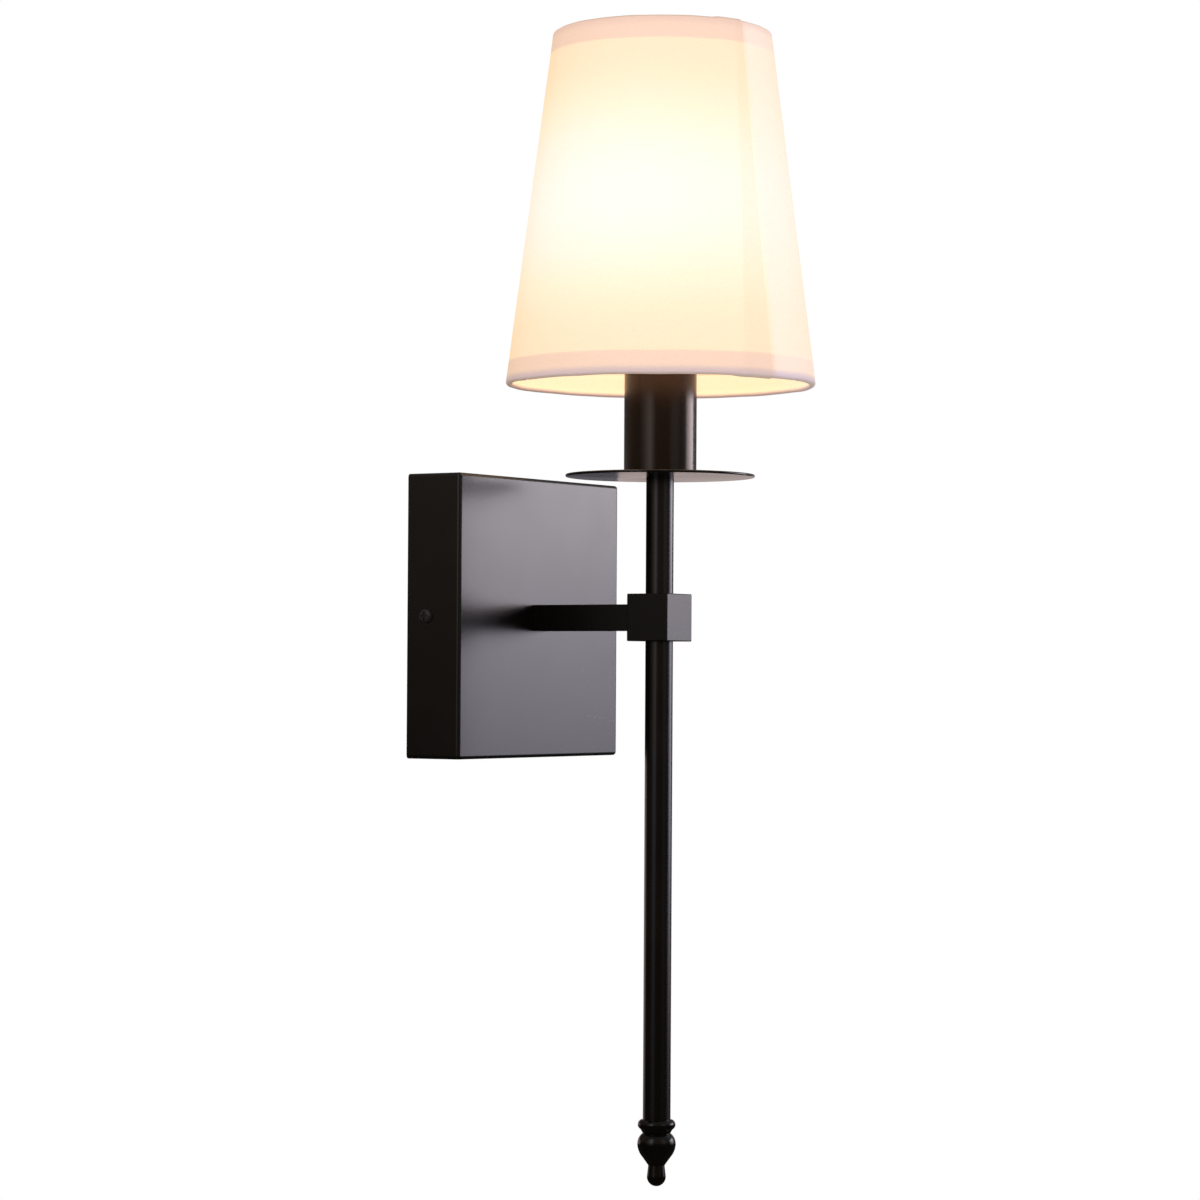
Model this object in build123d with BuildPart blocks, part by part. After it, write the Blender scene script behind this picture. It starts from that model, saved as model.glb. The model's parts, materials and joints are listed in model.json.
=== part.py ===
from build123d import *
import math
import os

# Wall lamp: a nearly square canopy, an arm to a cross block, an upper and a lower rod, and
# a candle sleeve that carries a tapered fabric shade and a screw-in bulb.
# Millimetres. The wall is the plane Y = 0, the room is on its -Y side, +Z is up and
# the origin is the middle of the wall bracket's back face.

# Gaps, on the radius or between two faces
thread_gap = 0.05
hole_gap = 0.3
turning_gap = 0.3
seat_gap = 0.1
glue_gap = 0.1
wire_gap = 0.2

# Canopy and its side screws
canopy_width = 131.0
canopy_height = 128.0
canopy_depth = 28.5
canopy_sheet = 1.2
canopy_inner_bend = 0.4
side_screw_setback = 10.4
side_screw_diameter = 3.5
side_screw_length = 8.0
side_screw_head = 6.4
side_screw_head_height = 1.9
side_screw_dome = 1.5
side_screw_recess = 4.0
side_screw_recess_width = 1.0
side_screw_recess_depth = 0.9

# Wall bracket and its ground screw
bracket_width = 24.0
bracket_sheet = 1.5
bracket_side_gap = 0.4
bracket_ear_margin = 5.6
slot_spacing = 79.4
slot_width = 5.0
slot_length = 14.5
ground_screw_diameter = 4.0
ground_screw_head = 8.0
ground_screw_head_height = 2.6
ground_screw_offset = 20.0

# Threaded tube, nut, washer, ground tag and end bush
thread_diameter = 10.0
thread_wall = 1.5
thread_grip = 12.0
thread_tail = 3.0
nut_wall = 2.0
nut_thickness = 5.0
washer_rim = 4.0
washer_thickness = 1.0
tag_rim = 3.0
tag_sheet = 0.8
tag_tail_width = 5.0
tag_tail_length = 8.0
bush_wall = 2.0
bush_lip = 2.0

# Arm, cross block and rods
arm_wall = 0.95
arm_edge = 0.5
rod_offset = 92.5
rod_wall = 1.2
upper_rod_length = 51.8
lower_rod_length = 214.6
block_size = 21.4
block_edge = 0.5
block_grip = 7.0

# Finial, each level measured down from the end of the lower rod
finial_spigot = 10.0
finial_collar_diameter = 17.0
finial_collar_foot = 14.5
finial_collar_height = 4.4
finial_neck_diameter = 12.4
finial_neck_level = 6.2
finial_urn_diameter = 17.3
finial_urn_level = 10.8
finial_shoulder_diameter = 14.6
finial_shoulder_level = 15.6
finial_stem_diameter = 7.4
finial_stem_level = 20.6
finial_ball_diameter = 8.5
finial_height = 30.0

# Drip pan and candle sleeve
pan_diameter = 85.4
pan_flat = 40.0
pan_dish = 0.8
pan_thickness = 1.2
pan_edge = 0.5
sleeve_gap = 0.55
sleeve_wall = 0.8
sleeve_floor = 1.0
sleeve_length = 57.3

# Lampholder
socket_wall = 1.4
socket_neck = 9.0
socket_floor = 4.0
socket_spigot = 4.0
cap_wall = 1.5
cap_floor = 3.0
hub_wall = 3.0
hub_height = 12.0
shell_bore = 26.2
shell_sheet = 0.4
shell_rim = 0.5
contact_width = 5.0
contact_sheet = 0.4
contact_rise = 3.4
contact_reach = 9.0
contact_foot = 4.5
contact_pad = 5.0
contact_bend = 0.8
terminal_spread = 8.0
terminal_diameter = 3.0
terminal_depth = 3.0
terminal_head = 5.6
terminal_head_height = 2.0

# Bulb
bulb_diameter = 60.0
bulb_wall = 0.8
bulb_neck_rim = 1.2
bulb_neck_height = 7.0
bulb_neck_to_centre = 48.0
bulb_stand = 2.9
base_wall = 1.3
base_lead_in = 1.5
base_thread_depth = 0.8
base_thread_pitch = 3.6
base_turns = 5
base_rim = 1.9
tip_diameter = 9.0
tip_height = 1.0
insulator_rim = 0.6
insulator_height = 2.6

# Retaining ring, fitter and wires of the shade
ring_wall = 4.5
ring_height = 7.0
ring_flange = 1.5
ring_notches = 16
ring_notch = 1.6
fitter_width = 4.7
fitter_sheet = 1.5
fitter_lap = 2.0
fitter_recess = 16.6
fitter_arm = 1.8
fitter_arm_count = 3
fitter_first_arm = 32.0
wire_diameter = 1.8

# Shade
shade_bottom_radius = 70.0
shade_top_radius = 49.3
shade_height = 159.5
fabric_sheet = 0.4
liner_sheet = 0.4
hem_width = 10.4
hem_slope = 2.0
seam_width = 13.5
seam_rise = 0.3
seam_angle = 243.0

# Leads and connectors
lead_diameter = 2.0
lead_spread = 1.5
lead_drop = 4.0
lead_block_bend = 8.0
lead_bend = 5.0
lead_small_bend = 2.5
connector_spacing = 18.0
connector_setback = 9.0
connector_drop = 28.0
connector_height = 18.0
connector_mouth = 10.4
connector_end = 6.4
connector_bore_depth = 8.0
connector_grip = 7.0

# Sizes that follow from the threaded tube
thread_radius = thread_diameter / 2
tapped_radius = thread_radius + thread_gap
thread_bore_radius = thread_radius - thread_wall
nut_radius = thread_radius + nut_wall
washer_radius = thread_radius + washer_rim
tag_radius = thread_radius + tag_rim
bush_radius = thread_radius + bush_wall
rod_radius = tapped_radius + rod_wall
arm_size = 2 * (tapped_radius + arm_wall)

# Sizes that follow from the screw shell and the bulb
shell_radius = shell_bore / 2 + shell_sheet
shell_seat_radius = shell_radius + glue_gap
socket_radius = shell_seat_radius + socket_wall
sleeve_inner = socket_radius + sleeve_gap
sleeve_radius = sleeve_inner + sleeve_wall
neck_clear_radius = socket_radius + turning_gap
ring_radius = neck_clear_radius + ring_wall
fitter_radius = neck_clear_radius + fitter_width
base_radius = shell_bore / 2 - turning_gap
base_root = base_radius - base_thread_depth
base_length = base_lead_in + base_turns * base_thread_pitch + base_rim
bulb_radius = bulb_diameter / 2
bulb_neck_radius = base_radius + bulb_neck_rim
tip_radius = tip_diameter / 2
contact_height = contact_rise + contact_sheet + seat_gap
shell_depth = contact_height + tip_height + insulator_height + base_length - bulb_stand

# Distances from the wall, growing into the room
canopy_inner = canopy_depth - canopy_sheet
canopy_washer_at = canopy_inner - washer_thickness
tag_at = canopy_washer_at - tag_sheet
canopy_nut_at = tag_at - nut_thickness
canopy_thread_at = canopy_nut_at - thread_tail
block_back = rod_offset - block_size / 2

# Heights along the rods
block_top = block_size / 2
lower_rod_end = -block_top - lower_rod_length
pan_seat = block_top + upper_rod_length
pan_top = pan_seat + pan_thickness
sleeve_floor_top = pan_top + sleeve_floor
sleeve_top = pan_top + sleeve_length
socket_washer_top = sleeve_floor_top + washer_thickness
socket_bottom = socket_washer_top + nut_thickness + seat_gap
hub_top = socket_bottom + hub_height
socket_top = sleeve_top + socket_neck
shell_seat = socket_top - shell_depth
socket_floor_bottom = shell_seat - socket_floor
socket_split = socket_floor_bottom - socket_spigot
terminal_bottom = socket_floor_bottom - terminal_head_height
bulb_tip = shell_seat + contact_height
insulator_bottom = bulb_tip + tip_height
base_bottom = insulator_bottom + insulator_height
base_top = base_bottom + base_length
bulb_neck_top = base_top + bulb_neck_height
bulb_centre = bulb_neck_top + bulb_neck_to_centre
fitter_seat = sleeve_top + seat_gap
ring_seat = fitter_seat + fitter_sheet + seat_gap
shade_bottom = fitter_seat - fitter_recess

# The axis that the rods share and the upright plane through it
rod_axis = Axis((0, -rod_offset, 0), (0, 0, 1))
rod_section = Plane(origin=(0, -rod_offset, 0), x_dir=(1, 0, 0), z_dir=(0, -1, 0))

os.makedirs("parts", exist_ok=True)


def from_wall(distance):
    """A plane parallel to the wall, facing the room, with local Y pointing up."""
    return Plane.XZ.offset(distance)


def on_rod(height):
    """A level plane at the given height, centred on the rods."""
    return Plane(origin=(0, -rod_offset, height))


def save(piece, name):
    """Labels a finished piece and writes it as one file."""
    piece.part.label = name
    export_step(piece.part, f"parts/{name}.step")


def ring_piece(plane, outer, inner, height):
    """A plain tube or washer that stands on the plane."""
    with BuildPart() as piece:
        with BuildSketch(plane):
            Circle(outer)
            Circle(inner, mode=Mode.SUBTRACT)
        extrude(amount=height)
    return piece


def nut_piece(plane):
    """A hexagon nut that stands on the plane."""
    with BuildPart() as piece:
        with BuildSketch(plane):
            RegularPolygon(nut_radius, 6, major_radius=False)
            Circle(tapped_radius, mode=Mode.SUBTRACT)
        extrude(amount=nut_thickness)
    return piece


def threaded_tube(plane, length):
    """A hollow threaded tube that stands on the plane."""
    return ring_piece(plane, thread_radius, thread_bore_radius, length)


# Canopy: a folded box with its open side to the wall
canopy_bend = canopy_inner_bend + canopy_sheet
with BuildPart() as canopy:
    with BuildSketch(from_wall(0)):
        RectangleRounded(canopy_width, canopy_height, canopy_bend)
    extrude(amount=canopy_depth)
    fillet(canopy.faces().sort_by(Axis.Y)[0].edges(), radius=canopy_bend)
    offset(amount=-canopy_sheet, openings=canopy.faces().sort_by(Axis.Y)[-1])
    with BuildSketch(from_wall(canopy_inner)):
        Circle(thread_radius + hole_gap)
    extrude(amount=canopy_sheet, mode=Mode.SUBTRACT)
    with BuildSketch(Plane.YZ):
        with Locations((-side_screw_setback, 0)):
            Circle(side_screw_diameter / 2 + hole_gap)
    extrude(amount=canopy_width / 2, both=True, mode=Mode.SUBTRACT)
save(canopy, "canopy")

# Wall bracket: a strip with two slots and two bent ears
bracket_length = canopy_width - 2 * canopy_sheet - 2 * bracket_side_gap
with BuildPart() as wall_bracket:
    with BuildSketch(from_wall(0)):
        Rectangle(bracket_length, bracket_width)
        with GridLocations(slot_spacing, 0, 2, 1):
            SlotOverall(slot_length, slot_width, mode=Mode.SUBTRACT)
        with Locations((ground_screw_offset, 0)):
            Circle(ground_screw_diameter / 2 + thread_gap, mode=Mode.SUBTRACT)
    extrude(amount=bracket_sheet)
    with BuildSketch(from_wall(0)):
        with GridLocations(bracket_length - bracket_sheet, 0, 2, 1):
            Rectangle(bracket_sheet, bracket_width)
    extrude(amount=side_screw_setback + bracket_ear_margin)
    bend_edges = wall_bracket.edges().filter_by(Axis.Z).group_by(Axis.Y)[-1]
    fillet(bend_edges, radius=bracket_sheet)
    with BuildSketch(Plane.YZ):
        with Locations((-side_screw_setback, 0)):
            Circle(side_screw_diameter / 2 + thread_gap)
    extrude(amount=canopy_width / 2, both=True, mode=Mode.SUBTRACT)
save(wall_bracket, "wall_bracket")

# Ground screw on the bracket
with BuildPart() as ground_screw:
    with BuildSketch(from_wall(0)):
        with Locations((ground_screw_offset, 0)):
            Circle(ground_screw_diameter / 2)
    extrude(amount=bracket_sheet)
    with BuildSketch(from_wall(bracket_sheet)):
        with Locations((ground_screw_offset, 0)):
            RegularPolygon(ground_screw_head / 2, 6)
    extrude(amount=ground_screw_head_height)
save(ground_screw, "ground_screw")

# Canopy screws: one in each side, with a domed head and a cross recess
screw_face = Plane.YZ.offset(canopy_width / 2)
with BuildPart() as canopy_screws:
    with BuildSketch(screw_face):
        with Locations((-side_screw_setback, 0)):
            Circle(side_screw_head / 2)
    extrude(amount=side_screw_head_height)
    head_rim = canopy_screws.edges().group_by(Axis.X)[-1]
    fillet(head_rim, radius=min(side_screw_dome, 0.9 * side_screw_head_height))
    with BuildSketch(screw_face):
        with Locations((-side_screw_setback, 0)):
            Circle(side_screw_diameter / 2)
    extrude(amount=-side_screw_length)
    with BuildSketch(screw_face.offset(side_screw_head_height)):
        with Locations((-side_screw_setback, 0)):
            Rectangle(side_screw_recess, side_screw_recess_width)
            Rectangle(side_screw_recess_width, side_screw_recess)
    extrude(amount=-side_screw_recess_depth, mode=Mode.SUBTRACT)
    mirror(about=Plane.YZ)
save(canopy_screws, "canopy_screws")

# Threaded tube, washer and nut that clamp the arm to the canopy
canopy_tube_length = canopy_depth + thread_grip - canopy_thread_at
canopy_tube = threaded_tube(from_wall(canopy_thread_at), canopy_tube_length)
save(canopy_tube, "canopy_tube")
canopy_washer = ring_piece(
    from_wall(canopy_washer_at), washer_radius, tapped_radius, washer_thickness
)
save(canopy_washer, "canopy_washer")
canopy_nut = nut_piece(from_wall(canopy_nut_at))
save(canopy_nut, "canopy_nut")

# Ground tag between washer and nut, with a tail that points down
tail_end = -tag_radius - tag_tail_length
with BuildPart() as ground_tag:
    with BuildSketch(from_wall(tag_at)):
        Circle(tag_radius)
        with Locations((0, tail_end)):
            Rectangle(tag_tail_width, -tail_end, align=(Align.CENTER, Align.MIN))
        Circle(tapped_radius, mode=Mode.SUBTRACT)
    extrude(amount=tag_sheet)
save(ground_tag, "ground_tag")

# Plastic bush on the tube's end, so that the leads don't chafe
with BuildPart() as tube_bush:
    with BuildSketch(from_wall(canopy_thread_at - bush_lip)):
        Circle(bush_radius)
        Circle(thread_bore_radius, mode=Mode.SUBTRACT)
    extrude(amount=bush_lip - seat_gap)
    with BuildSketch(from_wall(canopy_thread_at - seat_gap)):
        Circle(bush_radius)
        Circle(tapped_radius, mode=Mode.SUBTRACT)
    extrude(amount=thread_tail)
save(tube_bush, "tube_bush")

# Arm: a square tube from the canopy's face to the block
with BuildPart() as arm:
    with BuildSketch(from_wall(canopy_depth)):
        RectangleRounded(arm_size, arm_size, arm_edge)
        Circle(tapped_radius, mode=Mode.SUBTRACT)
    extrude(amount=block_back - canopy_depth)
save(arm, "arm")

# Threaded tube between arm and block, short of the block's upright bore
rear_grip = block_size / 2 - tapped_radius - seat_gap
rear_tube = threaded_tube(from_wall(block_back - thread_grip), thread_grip + rear_grip)
save(rear_tube, "rear_tube")

# Cross block: a cube with a bore down through it and one in from the back
with BuildPart() as cross_block:
    with Locations((0, -rod_offset, 0)):
        Box(block_size, block_size, block_size)
    fillet(cross_block.edges(), radius=block_edge)
    with BuildSketch(on_rod(-block_top)):
        Circle(tapped_radius)
    extrude(amount=block_size, mode=Mode.SUBTRACT)
    with BuildSketch(from_wall(block_back)):
        Circle(tapped_radius)
    extrude(amount=block_size / 2, mode=Mode.SUBTRACT)
save(cross_block, "cross_block")

# Threaded tubes from the block into the two rods
tube_length = block_grip + thread_grip
upper_tube = threaded_tube(on_rod(block_top - block_grip), tube_length)
save(upper_tube, "upper_tube")
lower_tube = threaded_tube(on_rod(-block_top - thread_grip), tube_length)
save(lower_tube, "lower_tube")

# Upper and lower rod: round tubes
upper_rod = ring_piece(on_rod(block_top), rod_radius, tapped_radius, upper_rod_length)
save(upper_rod, "upper_rod")
lower_rod = ring_piece(on_rod(lower_rod_end), rod_radius, tapped_radius, lower_rod_length)
save(lower_rod, "lower_rod")


def finial_point(diameter, level):
    """A point of the finial's outline, by its diameter and its level below the rod."""
    return (diameter / 2, lower_rod_end - level)


# Finial: collar, neck, urn and a stem that widens into the ball, turned in one piece, with a spigot
spigot_top = lower_rod_end + finial_spigot
ball_radius = finial_ball_diameter / 2
ball_level = finial_height - ball_radius
stem_drop = ball_level - finial_stem_level
stem_reach = math.hypot(finial_stem_diameter / 2, stem_drop)
ball_turn = math.atan2(stem_drop, finial_stem_diameter / 2) - math.acos(ball_radius / stem_reach)
ball_slant = math.sqrt(0.5)
collar_top = (rod_radius, lower_rod_end)
collar_widest = finial_point(finial_collar_diameter, finial_collar_height / 2)
collar_foot = finial_point(finial_collar_foot, finial_collar_height)
neck = finial_point(finial_neck_diameter, finial_neck_level)
urn_widest = finial_point(finial_urn_diameter, finial_urn_level)
urn_shoulder = finial_point(finial_shoulder_diameter, finial_shoulder_level)
stem_top = finial_point(finial_stem_diameter, finial_stem_level)
ball_top = finial_point(
    finial_ball_diameter * math.cos(ball_turn),
    ball_level - ball_radius * math.sin(ball_turn),
)
ball_side = finial_point(finial_ball_diameter * ball_slant, ball_level + ball_radius * ball_slant)
finial_tip = finial_point(0, finial_height)
with BuildPart() as finial:
    with BuildSketch(rod_section):
        with BuildLine():
            Line(finial_tip, (0, spigot_top))
            Polyline(
                (0, spigot_top),
                (thread_radius, spigot_top),
                (thread_radius, lower_rod_end),
                collar_top,
            )
            ThreePointArc(collar_top, collar_widest, collar_foot)
            Line(collar_foot, neck)
            TangentArc(urn_widest, neck, tangent=(0, 1))
            TangentArc(urn_widest, urn_shoulder, tangent=(0, -1))
            Polyline(urn_shoulder, stem_top, ball_top)
            ThreePointArc(ball_top, ball_side, finial_tip)
        make_face()
    revolve(axis=rod_axis)
save(finial, "finial")

# Drip pan: flat in the middle, rising a little to its rim
pan_radius = pan_diameter / 2
pan_rounding = min(pan_edge, 0.45 * pan_thickness)
with BuildPart() as drip_pan:
    with BuildSketch(rod_section):
        with BuildLine():
            Polyline(
                (tapped_radius, pan_seat),
                (pan_flat / 2, pan_seat),
                (pan_radius, pan_seat + pan_dish),
                (pan_radius, pan_top + pan_dish),
                (pan_flat / 2, pan_top),
                (tapped_radius, pan_top),
                close=True,
            )
        make_face()
    revolve(axis=rod_axis)
    pan_rim = drip_pan.edges().filter_by(GeomType.CIRCLE)
    pan_rim = pan_rim.filter_by(lambda edge: edge.radius > pan_radius - pan_rounding)
    fillet(pan_rim, radius=pan_rounding)
save(drip_pan, "drip_pan")

# Candle sleeve: a tube with a floor that stands on the pan
with BuildPart() as candle_sleeve:
    with BuildSketch(on_rod(pan_top)):
        Circle(sleeve_radius)
        Circle(tapped_radius, mode=Mode.SUBTRACT)
    extrude(amount=sleeve_length)
    with BuildSketch(on_rod(sleeve_floor_top)):
        Circle(sleeve_inner)
    extrude(amount=sleeve_length, mode=Mode.SUBTRACT)
save(candle_sleeve, "candle_sleeve")

# Threaded tube, washer and nut that clamp pan and sleeve to the upper rod
socket_tube_bottom = pan_seat - thread_grip
socket_tube = threaded_tube(on_rod(socket_tube_bottom), hub_top - socket_tube_bottom)
save(socket_tube, "socket_tube")
socket_washer = ring_piece(
    on_rod(sleeve_floor_top), washer_radius, tapped_radius, washer_thickness
)
save(socket_washer, "socket_washer")
socket_nut = nut_piece(on_rod(socket_washer_top))
save(socket_nut, "socket_nut")

# Lampholder cap: a cup with a threaded hub
cap_height = socket_split - socket_bottom
cap_inner = socket_radius - cap_wall
with BuildPart() as socket_cap:
    with BuildSketch(on_rod(socket_bottom)):
        Circle(socket_radius)
    extrude(amount=cap_height)
    with BuildSketch(on_rod(socket_bottom + cap_floor)):
        Circle(cap_inner)
    extrude(amount=cap_height, mode=Mode.SUBTRACT)
    with BuildSketch(on_rod(socket_bottom)):
        Circle(tapped_radius + hub_wall)
    extrude(amount=hub_height)
    with BuildSketch(on_rod(socket_bottom)):
        Circle(tapped_radius)
    extrude(amount=hub_height, mode=Mode.SUBTRACT)
save(socket_cap, "socket_cap")

# Lampholder body: holds the screw shell, and its spigot sits inside the cap
spigot_radius = cap_inner - thread_gap
spigot_bottom = socket_split - socket_spigot
terminal_radius = terminal_diameter / 2
with BuildPart() as socket_body:
    with BuildSketch(on_rod(socket_split)):
        Circle(socket_radius)
    extrude(amount=socket_top - socket_split)
    with BuildSketch(on_rod(spigot_bottom)):
        Circle(spigot_radius)
    extrude(amount=socket_spigot)
    with BuildSketch(on_rod(spigot_bottom)):
        Circle(spigot_radius - cap_wall)
    extrude(amount=socket_floor_bottom - spigot_bottom, mode=Mode.SUBTRACT)
    with BuildSketch(on_rod(shell_seat)):
        Circle(shell_seat_radius)
    extrude(amount=shell_depth, mode=Mode.SUBTRACT)
    with BuildSketch(on_rod(socket_floor_bottom)):
        with GridLocations(2 * terminal_spread, 0, 2, 1):
            Circle(terminal_radius + thread_gap)
    extrude(amount=terminal_depth, mode=Mode.SUBTRACT)
save(socket_body, "socket_body")

# Screw shell inside the body
screw_shell = ring_piece(on_rod(shell_seat), shell_radius, shell_bore / 2, shell_depth - shell_rim)
save(screw_shell, "screw_shell")

# Centre contact: a bent leaf on the lampholder's floor
leaf_bends = (
    (-contact_reach, shell_seat),
    (contact_foot - contact_reach, shell_seat),
    (-contact_pad / 2, shell_seat + contact_rise),
    (contact_pad / 2, shell_seat + contact_rise),
)
with BuildPart() as centre_contact:
    with BuildSketch(rod_section):
        with BuildLine():
            FilletPolyline(*leaf_bends, radius=contact_bend)
            offset(amount=contact_sheet, side=Side.LEFT)
        make_face()
    extrude(amount=contact_width / 2, both=True)
save(centre_contact, "centre_contact")

# Terminal screws under the lampholder's floor
with BuildPart() as terminal_screws:
    with BuildSketch(on_rod(socket_floor_bottom)):
        with GridLocations(2 * terminal_spread, 0, 2, 1):
            Circle(terminal_radius)
    extrude(amount=terminal_depth - seat_gap)
    with BuildSketch(on_rod(terminal_bottom)):
        with GridLocations(2 * terminal_spread, 0, 2, 1):
            Circle(terminal_head / 2)
    extrude(amount=terminal_head_height)
save(terminal_screws, "terminal_screws")

# Retaining ring on the lampholder's neck, with grip notches above its flange
with BuildPart() as shade_ring:
    with BuildSketch(on_rod(ring_seat)):
        Circle(ring_radius)
        Circle(neck_clear_radius, mode=Mode.SUBTRACT)
    extrude(amount=ring_height)
    with BuildSketch(on_rod(ring_seat + ring_flange)):
        with PolarLocations(ring_radius, ring_notches):
            Circle(ring_notch / 2)
    extrude(amount=ring_height, mode=Mode.SUBTRACT)
save(shade_ring, "shade_ring")

# The shade's slope, with the fold of its cloth round the wires
shade_slope = math.hypot(shade_bottom_radius - shade_top_radius, shade_height)
shade_lean = math.atan2(shade_bottom_radius - shade_top_radius, shade_height)
wire_radius = wire_diameter / 2
roll_radius = wire_radius + wire_gap + fabric_sheet
liner_depth = fabric_sheet + glue_gap
hem_depth = liner_depth + liner_sheet + glue_gap + fabric_sheet
hem_slope_end = 2 * roll_radius + hem_slope
liner_start = 2 * roll_radius + glue_gap


def up_slope(along, inward):
    """Radius and height of a point so far up the slope and so far below its face."""
    radius = shade_bottom_radius - along * math.sin(shade_lean) - inward * math.cos(shade_lean)
    height = shade_bottom + along * math.cos(shade_lean) - inward * math.sin(shade_lean)
    return (radius, height)


def down_slope(along, inward):
    """The same, measured down from the shade's top edge."""
    return up_slope(shade_slope - along, inward)


def fabric_half(inset, place):
    """One face of the cloth, from mid-height round a wire to the end of its hem."""
    bend = roll_radius - inset
    depth = hem_depth - inset
    across = hem_slope_end - roll_radius
    reach = math.hypot(across, depth - roll_radius)
    leave = math.atan2(depth - roll_radius, across) + math.acos(bend / reach)
    middle = (leave + 1.5 * math.pi) / 2
    on_face = place(roll_radius, inset)
    off_wire = place(roll_radius + bend * math.cos(leave), roll_radius + bend * math.sin(leave))
    past_wire = place(roll_radius + bend * math.cos(middle), roll_radius + bend * math.sin(middle))
    Line(place(shade_slope / 2, inset), on_face)
    ThreePointArc(on_face, past_wire, off_wire)
    Polyline(off_wire, place(hem_slope_end, depth), place(hem_width, depth))


def wire_piece(place):
    """The wire ring inside the hem at one edge of the shade."""
    radius, height = place(roll_radius, roll_radius)
    with BuildPart() as piece:
        with Locations((0, -rod_offset, height)):
            Torus(radius, wire_radius)
    return piece


# Wires in the bottom and the top hem
bottom_wire = wire_piece(up_slope)
save(bottom_wire, "bottom_wire")
top_wire = wire_piece(down_slope)
save(top_wire, "top_wire")

# Fitter: a ring that sits on the sleeve, and arms welded under it and to the bottom wire
foot_radius, foot_height = up_slope(roll_radius, roll_radius)
arm_run = foot_radius - fitter_radius + fitter_lap
arm_rise = fitter_seat + fitter_sheet - fitter_arm - foot_height
arm_reach = math.hypot(arm_run, arm_rise)
arm_planes = []
for index in range(fitter_arm_count):
    turn = math.radians(fitter_first_arm + index * 360 / fitter_arm_count)
    aside = math.cos(turn)
    ahead = math.sin(turn)
    foot = (foot_radius * aside, foot_radius * ahead - rod_offset, foot_height)
    arm_planes.append(Plane(origin=foot, z_dir=(-arm_run * aside, -arm_run * ahead, arm_rise)))
weld_gap = wire_radius + glue_gap
with BuildPart() as shade_fitter:
    with BuildSketch(*[plane.offset(weld_gap) for plane in arm_planes]):
        Circle(fitter_arm / 2)
    extrude(amount=arm_reach - weld_gap)
    with BuildSketch(on_rod(fitter_seat)):
        Circle(fitter_radius)
        Circle(neck_clear_radius, mode=Mode.SUBTRACT)
    extrude(amount=fitter_sheet)
save(shade_fitter, "shade_fitter")

# Shade fabric: folded round both wires, overlapped at a seam, notched at the arms
seam_turn = math.radians(seam_angle)
seam_sweep = math.degrees(2 * seam_width / (shade_bottom_radius + shade_top_radius))
seam_section = Plane(
    origin=(0, -rod_offset, 0),
    x_dir=(math.cos(seam_turn), math.sin(seam_turn), 0),
    z_dir=(math.sin(seam_turn), -math.cos(seam_turn), 0),
)
with BuildPart() as shade_fabric:
    with BuildSketch(rod_section):
        with BuildLine():
            for place in (up_slope, down_slope):
                fabric_half(0, place)
                fabric_half(fabric_sheet, place)
                Line(place(hem_width, hem_depth), place(hem_width, hem_depth - fabric_sheet))
        make_face()
    revolve(axis=rod_axis)
    with BuildSketch(seam_section):
        with BuildLine():
            Polyline(
                up_slope(roll_radius, fabric_sheet / 2),
                up_slope(roll_radius, -seam_rise),
                down_slope(roll_radius, -seam_rise),
                down_slope(roll_radius, fabric_sheet / 2),
                close=True,
            )
        make_face()
    revolve(axis=rod_axis, revolution_arc=seam_sweep)
    with BuildSketch(*arm_planes):
        Circle(fitter_arm / 2 + glue_gap)
    extrude(amount=arm_reach, mode=Mode.SUBTRACT)
save(shade_fabric, "shade_fabric")

# Stiff liner behind the fabric, between the two wires
with BuildPart() as shade_liner:
    with BuildSketch(rod_section):
        with BuildLine():
            Polyline(
                up_slope(liner_start, liner_depth),
                down_slope(liner_start, liner_depth),
                down_slope(liner_start, liner_depth + liner_sheet),
                up_slope(liner_start, liner_depth + liner_sheet),
                close=True,
            )
        make_face()
    revolve(axis=rod_axis)
save(shade_liner, "shade_liner")


def bulb_side(inset):
    """Outline of the glass: its neck, a hollow flare and the ball, each tangent to the next."""
    ball = bulb_radius - inset
    neck_radius = bulb_neck_radius - inset
    flare = neck_radius**2 + bulb_neck_to_centre**2 - ball**2
    flare = flare / (2 * (ball - neck_radius))
    share = ball / (ball + flare)
    meeting = ((neck_radius + flare) * share, bulb_centre - bulb_neck_to_centre * share)
    neck_line = Line((neck_radius, base_top), (neck_radius, bulb_neck_top))
    TangentArc(neck_line @ 1, meeting, tangent=(0, 1))
    TangentArc((0, bulb_centre + ball), meeting, tangent=(1, 0))


# Bulb glass: a ball that flows into a neck, hollow and open at the base
with BuildPart() as bulb_glass:
    with BuildSketch(rod_section):
        with BuildLine():
            bulb_side(0)
            bulb_side(bulb_wall)
            crown = bulb_centre + bulb_radius
            Line((0, crown), (0, crown - bulb_wall))
            Line((bulb_neck_radius, base_top), (bulb_neck_radius - bulb_wall, base_top))
        make_face()
    revolve(axis=rod_axis)
save(bulb_glass, "bulb_glass")

# Bulb base: a rolled screw shell, drawn with round rings for its thread
thread_start = base_bottom + base_lead_in
with BuildPart() as bulb_base:
    with BuildSketch(rod_section):
        with BuildLine():
            Polyline(
                (base_root, thread_start + base_turns * base_thread_pitch),
                (base_radius, base_top),
                (base_radius - base_wall, base_top),
                (base_root - base_wall, base_bottom),
                (base_root, base_bottom),
                (base_root, thread_start),
            )
            for index in range(base_turns):
                low = thread_start + index * base_thread_pitch
                ThreePointArc(
                    (base_root, low),
                    (base_radius, low + base_thread_pitch / 2),
                    (base_root, low + base_thread_pitch),
                )
        make_face()
    revolve(axis=rod_axis)
save(bulb_base, "bulb_base")

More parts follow.
